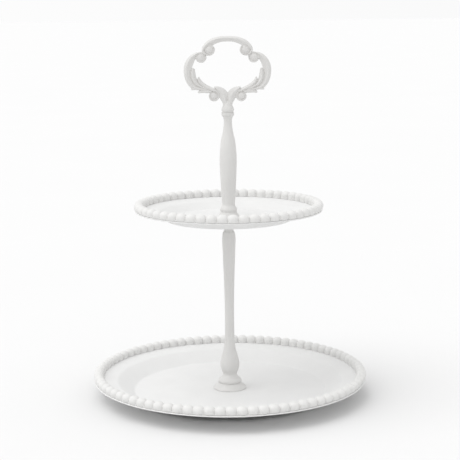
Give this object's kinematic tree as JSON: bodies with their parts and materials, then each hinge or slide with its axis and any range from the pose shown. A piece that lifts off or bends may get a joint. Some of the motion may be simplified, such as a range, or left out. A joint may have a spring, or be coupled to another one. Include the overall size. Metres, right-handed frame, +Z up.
{
  "type": "tiered cake stand",
  "caption": "Two-tier cake stand: beaded round trays on turned columns, with a cast scroll handle on top that unscrews.",
  "frame": {"origin": "centre of the stand on the surface it stands on", "axes": "+Z up along the line of columns; the scroll handle lies in the XZ plane, and the front is -Y"},
  "size_m": [0.306, 0.3059, 0.3992],
  "materials": {
    "tray_paint": "matt white powder coat",
    "bead_paint": "matt white powder coat",
    "column_paint": "matt white powder coat",
    "handle_paint": "matt white powder coat",
    "zinc_steel": "bright zinc plating",
    "rubber": "soft white rubber"
  },
  "bodies": {
    "base_tier": {"lower_tray": "tray_paint", "lower_bead_border": "bead_paint", "foot_1": "rubber", "foot_2": "rubber", "foot_3": "rubber", "foot_4": "rubber"},
    "lower_post": {"lower_column": "column_paint", "lower_seat_disc": "column_paint", "base_screw": "zinc_steel", "base_washer": "zinc_steel", "base_gasket": "rubber"},
    "upper_tier": {"upper_tray": "tray_paint", "upper_bead_border": "bead_paint", "tray_washer": "rubber"},
    "tray_stud": {"tray_stud": "zinc_steel"},
    "upper_post": {"upper_column": "column_paint", "upper_seat_disc": "column_paint"},
    "handle_stud": {"handle_stud": "zinc_steel"},
    "handle": {"handle": "handle_paint"}
  },
  "joints": [
    {"name": "lower_post_turn", "type": "hinge", "parent": "base_tier", "child": "lower_post", "pos_m": [0, 0, 0.005], "axis": [0, 0, 1], "continuous": true},
    {"name": "upper_tier_turn", "type": "hinge", "parent": "lower_post", "child": "upper_tier", "pos_m": [0, 0, 0.1995], "axis": [0, 0, 1], "continuous": true},
    {"name": "tray_stud_lift", "type": "slide", "parent": "lower_post", "child": "tray_stud", "axis": [0, 0, 1], "range_m": [0, 0.01]},
    {"name": "upper_post_turn", "type": "hinge", "parent": "tray_stud", "child": "upper_post", "pos_m": [0, 0, 0.207], "axis": [0, 0, 1], "range_deg": [0, 3600]},
    {"name": "handle_stud_lift", "type": "slide", "parent": "upper_post", "child": "handle_stud", "axis": [0, 0, 1], "range_m": [0, 0.008]},
    {"name": "handle_turn", "type": "hinge", "parent": "handle_stud", "child": "handle", "pos_m": [0, 0, 0.3164], "axis": [0, 0, 1], "range_deg": [0, 3600]}
  ],
  "couplings": [
    {"joint": "upper_post_turn", "follows": "tray_stud_lift", "rad_per_m": 6283.2},
    {"joint": "handle_turn", "follows": "handle_stud_lift", "rad_per_m": 7854}
  ]
}
